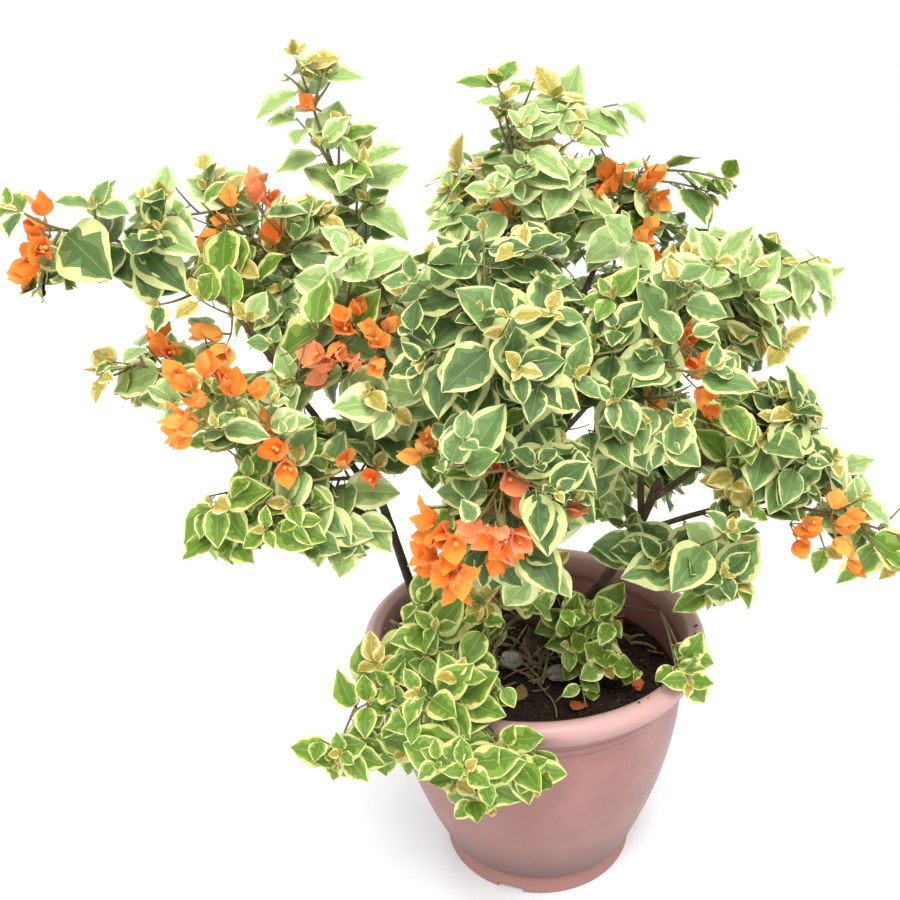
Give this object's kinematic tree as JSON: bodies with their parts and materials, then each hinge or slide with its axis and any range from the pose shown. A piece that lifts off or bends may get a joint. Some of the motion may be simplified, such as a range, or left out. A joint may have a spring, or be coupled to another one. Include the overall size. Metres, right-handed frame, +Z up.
{
  "type": "bougainvillea bush in a round pot",
  "caption": "Potted flowering bush with cream-edged green leaves and orange bracts, an open crown on slender stems, rooted in a round tapering pot with a rolled rim.",
  "frame": {"origin": "centre of the pot's flat underside, where it stands on the floor", "axes": "+Z up; -Y towards the viewer, the side that the picture shows; +X to the viewer's right"},
  "size_m": [0.7719, 0.5558, 0.7979],
  "materials": {
    "pot": "moulded dusty-pink plastic, satin",
    "soil": "dark crumbly potting soil with bits of bark and dry stems",
    "stone": "rough pale grey pebble",
    "bark": "grey-brown bark with fine ridges and lenticels",
    "foliage": "soft leaves with green centres and cream edges"
  },
  "bodies": {
    "root": {"pot": "pot", "soil": "soil", "stone_left": "stone", "stone_right": "stone", "trunk": "bark", "left_stem": "bark", "right_stem": "bark", "back_stem": "bark", "front_stem": "bark", "top_left_bough": "bark", "upper_left_bough": "bark", "far_left_bough": "bark", "left_middle_bough": "bark", "left_flower_bough": "bark", "centre_left_bough": "bark", "centre_bough": "bark", "centre_right_bough": "bark", "top_right_bough": "bark", "right_upper_bough": "bark", "right_middle_bough": "bark", "far_right_bough": "bark", "lower_right_bough": "bark", "back_left_bough": "bark", "back_right_bough": "bark", "back_low_bough": "bark", "back_low_right_bough": "bark", "top_left_shoot": "foliage", "upper_left_mass": "foliage", "far_left_mass": "foliage", "left_middle_mass": "foliage", "left_flower_mass": "foliage", "lower_left_mass": "foliage", "centre_left_mass": "foliage", "centre_mass": "foliage", "centre_right_mass": "foliage", "top_centre_mass": "foliage", "top_right_mass": "foliage", "right_upper_mass": "foliage", "right_middle_mass": "foliage", "far_right_mass": "foliage", "lower_right_mass": "foliage", "front_mass": "foliage", "low_left_mass": "foliage", "low_front_mass": "foliage", "low_middle_mass": "foliage", "pot_sprout": "foliage", "rim_sprout": "foliage", "back_left_mass": "foliage", "back_mass": "foliage", "back_right_mass": "foliage", "back_low_mass": "foliage", "back_low_right_mass": "foliage"}
  },
  "joints": []
}
